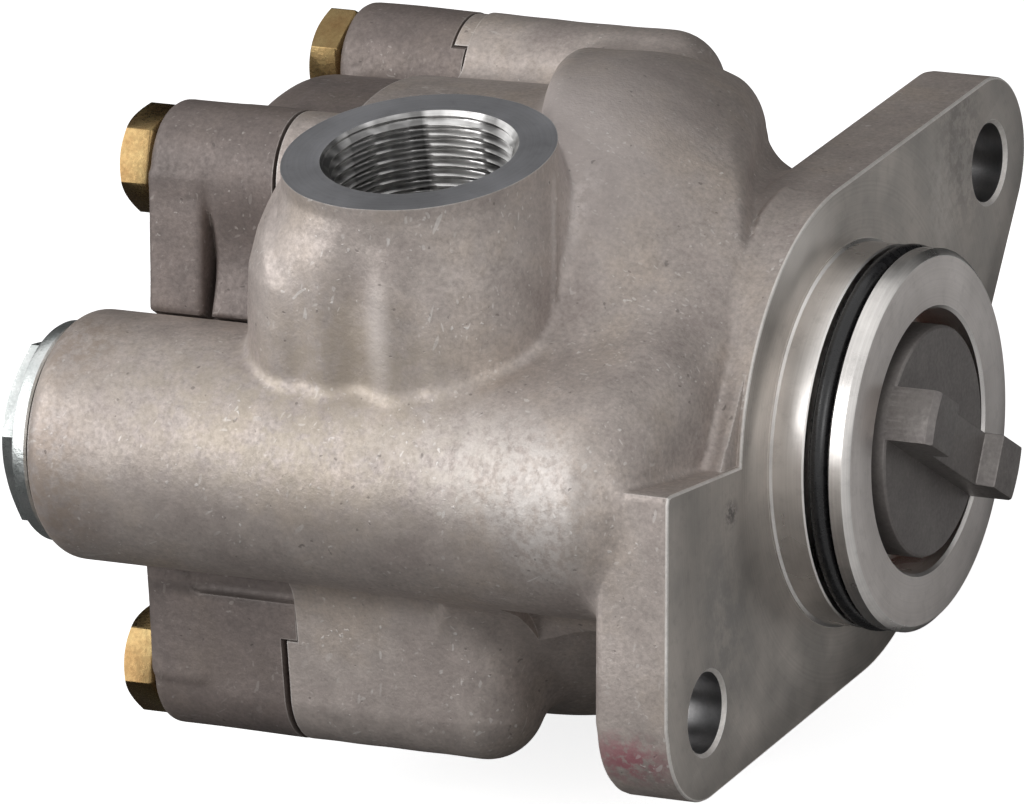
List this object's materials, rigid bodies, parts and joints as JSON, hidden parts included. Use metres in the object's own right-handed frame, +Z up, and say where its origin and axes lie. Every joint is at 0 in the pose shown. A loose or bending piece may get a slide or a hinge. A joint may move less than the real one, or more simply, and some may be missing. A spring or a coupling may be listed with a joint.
{
  "type": "power steering pump",
  "caption": "Flange-mounted vane pump for hydraulic power steering, with a tang-drive shaft, a threaded inlet on top and a built-in flow-control valve.",
  "frame": {"origin": "centre of the pilot where it meets the front face of the mounting flange", "axes": "+X along the shaft out of the drive end, +Z up along the inlet port, +Y away from the flow-control valve"},
  "size_m": [0.1191, 0.1244, 0.0996],
  "materials": {
    "cast_aluminium": "matt as-cast skin with machined faces",
    "cover_casting": "dark as-cast skin",
    "yellow_zinc": "yellow zinc plate",
    "bright_zinc": "bright zinc plate",
    "black_rubber": "oiled",
    "brown_rubber": "moulded",
    "shaft_steel": "hardened and darkened",
    "ground_steel": "ground",
    "sintered_steel": "sintered and ground",
    "bush_bronze": "turned",
    "orifice_brass": "turned"
  },
  "bodies": {
    "pump_body": {"pump_housing": "cast_aluminium", "rear_cover": "cover_casting", "cover_bolts": "yellow_zinc", "cover_seal": "black_rubber", "pilot_o_ring": "black_rubber", "shaft_seal": "brown_rubber", "seal_garter_spring": "ground_steel", "bearing_outer_ring": "ground_steel", "bearing_circlip": "shaft_steel", "cam_ring": "sintered_steel", "front_plate": "sintered_steel", "rear_plate": "sintered_steel", "plate_o_rings": "black_rubber", "plate_spring": "ground_steel", "dowel_pins": "ground_steel", "rear_bush": "bush_bronze", "metering_sleeve": "orifice_brass", "valve_plug": "bright_zinc", "plug_o_ring": "black_rubber", "outlet_orifice": "orifice_brass", "valve_spring": "ground_steel"},
    "shaft_group": {"drive_shaft": "shaft_steel", "rotor": "sintered_steel", "rotor_circlip": "shaft_steel", "bearing_inner_ring": "ground_steel"},
    "ball_set": {"bearing_balls": "ground_steel", "bearing_cage": "bush_bronze"},
    "vane_01": {"vane_01": "ground_steel"},
    "vane_02": {"vane_02": "ground_steel"},
    "vane_03": {"vane_03": "ground_steel"},
    "vane_04": {"vane_04": "ground_steel"},
    "vane_05": {"vane_05": "ground_steel"},
    "vane_06": {"vane_06": "ground_steel"},
    "vane_07": {"vane_07": "ground_steel"},
    "vane_08": {"vane_08": "ground_steel"},
    "vane_09": {"vane_09": "ground_steel"},
    "vane_10": {"vane_10": "ground_steel"},
    "valve_spool": {"valve_spool": "ground_steel", "relief_seat": "ground_steel", "relief_spring": "ground_steel"},
    "relief_ball": {"relief_ball": "ground_steel"}
  },
  "joints": [
    {"name": "shaft_spin", "type": "hinge", "parent": "pump_body", "child": "shaft_group", "pos_m": [0, 0, 0], "axis": [1, 0, 0], "continuous": true},
    {"name": "ball_set_spin", "type": "hinge", "parent": "pump_body", "child": "ball_set", "pos_m": [-0.0174, 0, 0], "axis": [1, 0, 0], "continuous": true},
    {"name": "vane_01_slide", "type": "slide", "parent": "shaft_group", "child": "vane_01", "axis": [0, 0.9914, 0.1305], "range_m": [-0.0005, 0.00235]},
    {"name": "vane_02_slide", "type": "slide", "parent": "shaft_group", "child": "vane_02", "axis": [0, 0.7254, 0.6884], "range_m": [-0.0005, 0.00235]},
    {"name": "vane_03_slide", "type": "slide", "parent": "shaft_group", "child": "vane_03", "axis": [0, 0.1822, 0.9833], "range_m": [-0.0005, 0.00095]},
    {"name": "vane_04_slide", "type": "slide", "parent": "shaft_group", "child": "vane_04", "axis": [0, -0.4305, 0.9026], "range_m": [-0.0005, 0.00009]},
    {"name": "vane_05_slide", "type": "slide", "parent": "shaft_group", "child": "vane_05", "axis": [0, -0.8788, 0.4772], "range_m": [-0.0005, 0.00095]},
    {"name": "vane_06_slide", "type": "slide", "parent": "shaft_group", "child": "vane_06", "axis": [0, -0.9914, -0.1305], "range_m": [-0.0005, 0.00235]},
    {"name": "vane_07_slide", "type": "slide", "parent": "shaft_group", "child": "vane_07", "axis": [0, -0.7254, -0.6884], "range_m": [-0.0005, 0.00235]},
    {"name": "vane_08_slide", "type": "slide", "parent": "shaft_group", "child": "vane_08", "axis": [0, -0.1822, -0.9833], "range_m": [-0.0005, 0.00095]},
    {"name": "vane_09_slide", "type": "slide", "parent": "shaft_group", "child": "vane_09", "axis": [0, 0.4305, -0.9026], "range_m": [-0.0005, 0.00009]},
    {"name": "vane_10_slide", "type": "slide", "parent": "shaft_group", "child": "vane_10", "axis": [0, 0.8788, -0.4772], "range_m": [-0.0005, 0.00095]},
    {"name": "spool_slide", "type": "slide", "parent": "pump_body", "child": "valve_spool", "axis": [1, 0, 0], "range_m": [-0.0075, 0], "stiffness_N_per_m": 6000, "springref_m": 0.004, "deforming": ["valve_spring"]},
    {"name": "relief_ball_slide", "type": "slide", "parent": "valve_spool", "child": "relief_ball", "axis": [1, 0, 0], "range_m": [0, 0.0008], "stiffness_N_per_m": 3000, "springref_m": -0.0005, "deforming": ["relief_spring"]}
  ],
  "couplings": [
    {"joint": "ball_set_spin", "follows": "shaft_spin", "ratio": 0.394}
  ]
}
